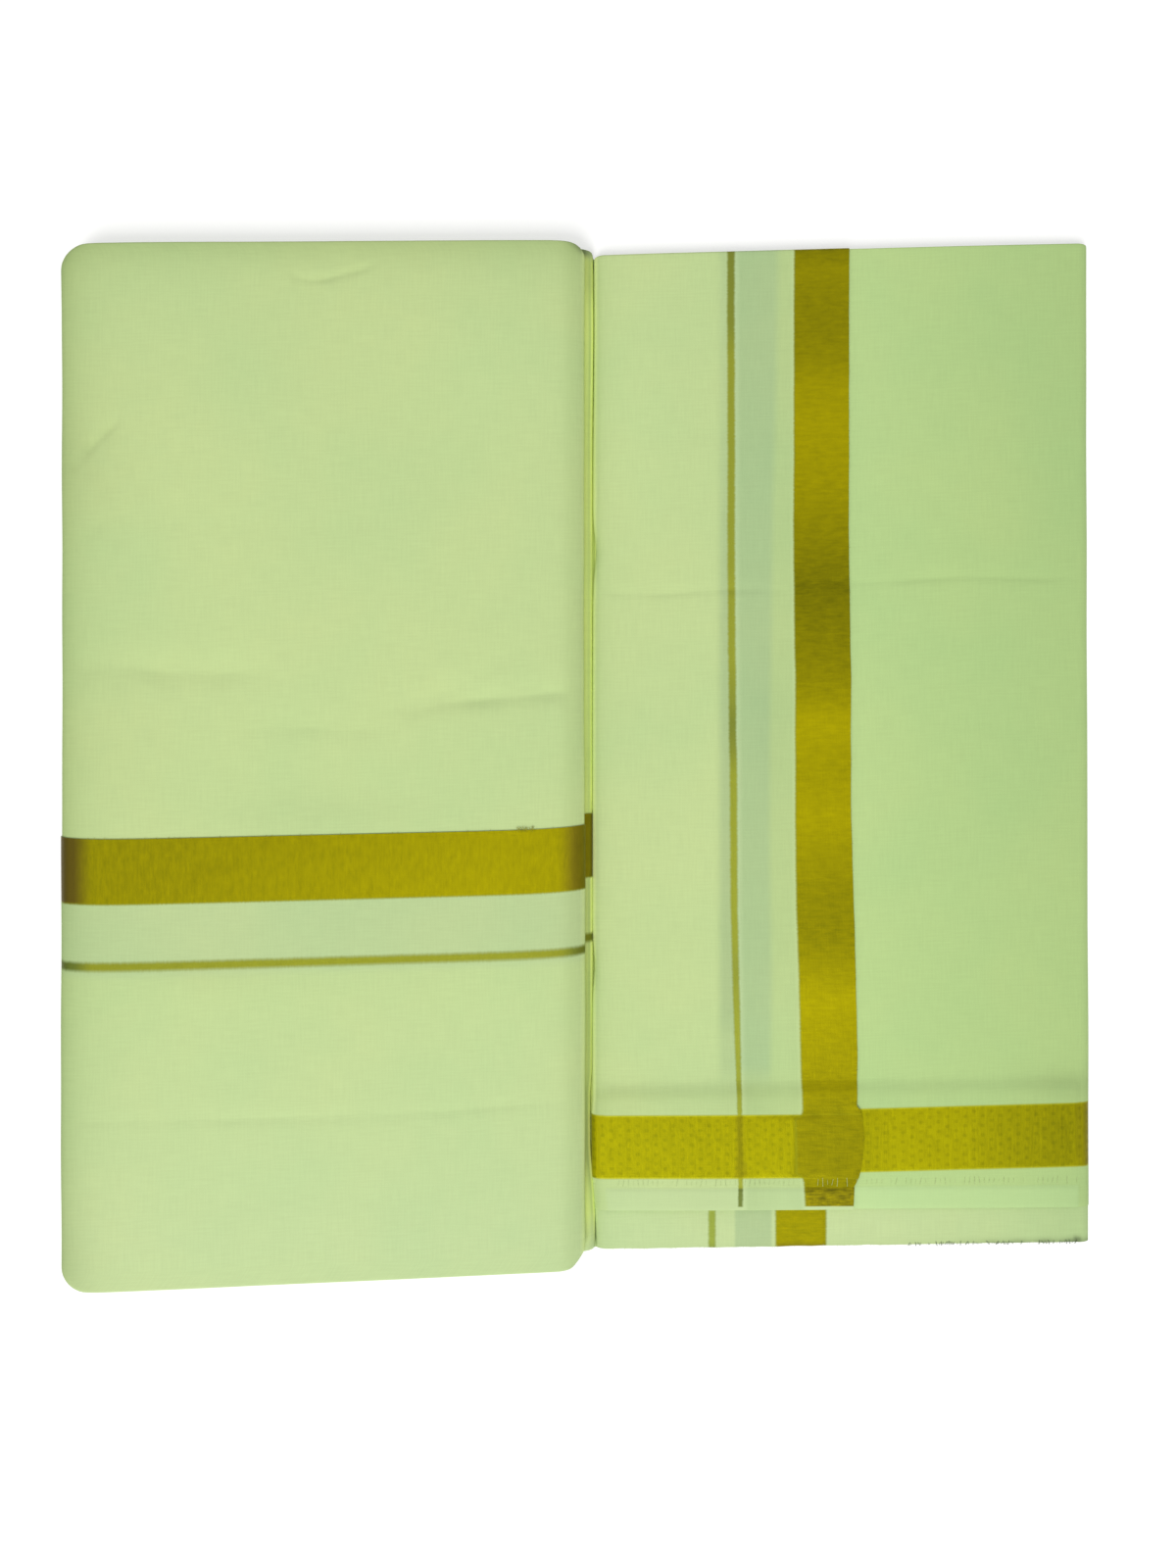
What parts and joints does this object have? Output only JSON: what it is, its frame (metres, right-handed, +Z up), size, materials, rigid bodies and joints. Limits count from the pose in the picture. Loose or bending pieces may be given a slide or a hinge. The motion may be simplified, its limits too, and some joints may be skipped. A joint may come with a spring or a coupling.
{
  "type": "folded dhoti cloth",
  "caption": "Cream cotton dhoti cloth with woven gold borders, folded into a thick and a thin leaf and laid flat side by side.",
  "frame": {"origin": "on the floor, under the middle of the whole", "axes": "+X from the thick leaf to the thin leaf, +Y from the foot of the leaves to their top folds, +Z up"},
  "size_m": [0.6356, 0.6486, 0.0211],
  "materials": {
    "cream_cotton": "matt plain-woven cream cotton with woven gold thread borders"
  },
  "bodies": {
    "root": {"left_hidden_layers": "cream_cotton", "middle_layer": "cream_cotton", "front_flap": "cream_cotton", "right_hidden_layers": "cream_cotton", "upright_flap": "cream_cotton", "back_panel": "cream_cotton", "lower_layer": "cream_cotton", "joining_fold": "cream_cotton"}
  },
  "joints": []
}
